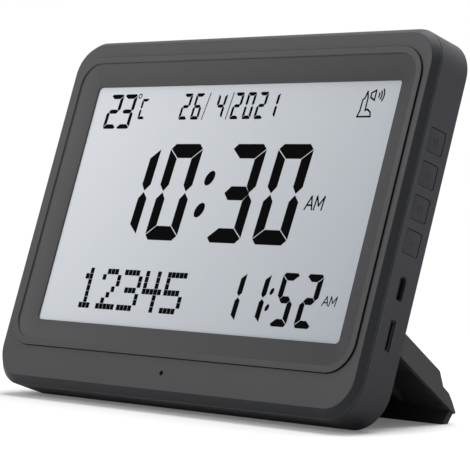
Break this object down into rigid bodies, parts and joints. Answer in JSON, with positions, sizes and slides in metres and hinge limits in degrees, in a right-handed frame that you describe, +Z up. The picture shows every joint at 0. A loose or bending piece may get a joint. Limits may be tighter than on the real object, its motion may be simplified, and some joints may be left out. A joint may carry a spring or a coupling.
{
  "type": "table clock",
  "caption": "Leaning table clock with a wide numeral display in a bevelled frame, push keys and sockets in its side, and a folding rear leg.",
  "frame": {"origin": "on the table, under the middle of the clock's box", "axes": "+Z up, +X to the right across the display as a reader sees it, -Y towards the reader"},
  "size_m": [0.21, 0.0659, 0.1472],
  "materials": {
    "housing": "fine matt moulded grey-black plastic",
    "rubber": "matt black rubber",
    "lens": "clear polarising film",
    "lcd": "pale grey-blue liquid crystal glass",
    "clear": "clear acrylic",
    "white": "white plastic",
    "tray": "pale grey moulded tray",
    "steel": "plated steel",
    "board": "green circuit board",
    "chip": "black moulded chips",
    "ribbon": "amber ribbon",
    "paper": "black paper cone",
    "magnet": "sintered magnet",
    "foam": "black foam",
    "cell": "foil pouch",
    "shell": "bright metal sleeve"
  },
  "bodies": {
    "case": {"front_housing": "housing", "rear_housing": "housing", "front_polarizer": "lens", "lcd_front_glass": "lcd", "lcd_rear_glass": "lcd", "rear_polarizer": "lens", "diffuser": "white", "light_guide": "clear", "reflector": "white", "backlight_bar": "white", "lcd_tray": "tray", "tray_screws": "steel", "lcd_ribbon": "ribbon", "ribbon_socket": "chip", "main_board": "board", "board_parts": "chip", "board_screws": "steel", "key_board": "board", "key_switches": "chip", "port_board": "board", "usb_socket": "shell", "card_socket": "steel", "speaker_frame": "steel", "speaker_cone": "paper", "speaker_magnet": "magnet", "speaker_gasket": "foam", "battery_pack": "cell", "battery_tape": "foam", "sensor_board": "board", "light_sensor": "chip", "thermometer_bead": "chip", "case_screws": "steel", "leg_pins": "steel"},
    "leg": {"leg": "housing", "leg_foot": "rubber"},
    "key_1": {"key_1": "housing"},
    "key_2": {"key_2": "housing"},
    "key_3": {"key_3": "housing"},
    "key_4": {"key_4": "housing"}
  },
  "joints": [
    {"name": "leg_fold", "type": "hinge", "parent": "case", "child": "leg", "pos_m": [0, -0.00203, 0.0299], "axis": [1, 0, 0], "range_deg": [-70.9, 0]},
    {"name": "key_1_press", "type": "slide", "parent": "case", "child": "key_1", "axis": [-1, 0, 0], "range_m": [0, 0.0005], "stiffness_N_per_m": 800},
    {"name": "key_2_press", "type": "slide", "parent": "case", "child": "key_2", "axis": [-1, 0, 0], "range_m": [0, 0.0005], "stiffness_N_per_m": 800},
    {"name": "key_3_press", "type": "slide", "parent": "case", "child": "key_3", "axis": [-1, 0, 0], "range_m": [0, 0.0005], "stiffness_N_per_m": 800},
    {"name": "key_4_press", "type": "slide", "parent": "case", "child": "key_4", "axis": [-1, 0, 0], "range_m": [0, 0.0005], "stiffness_N_per_m": 800}
  ]
}
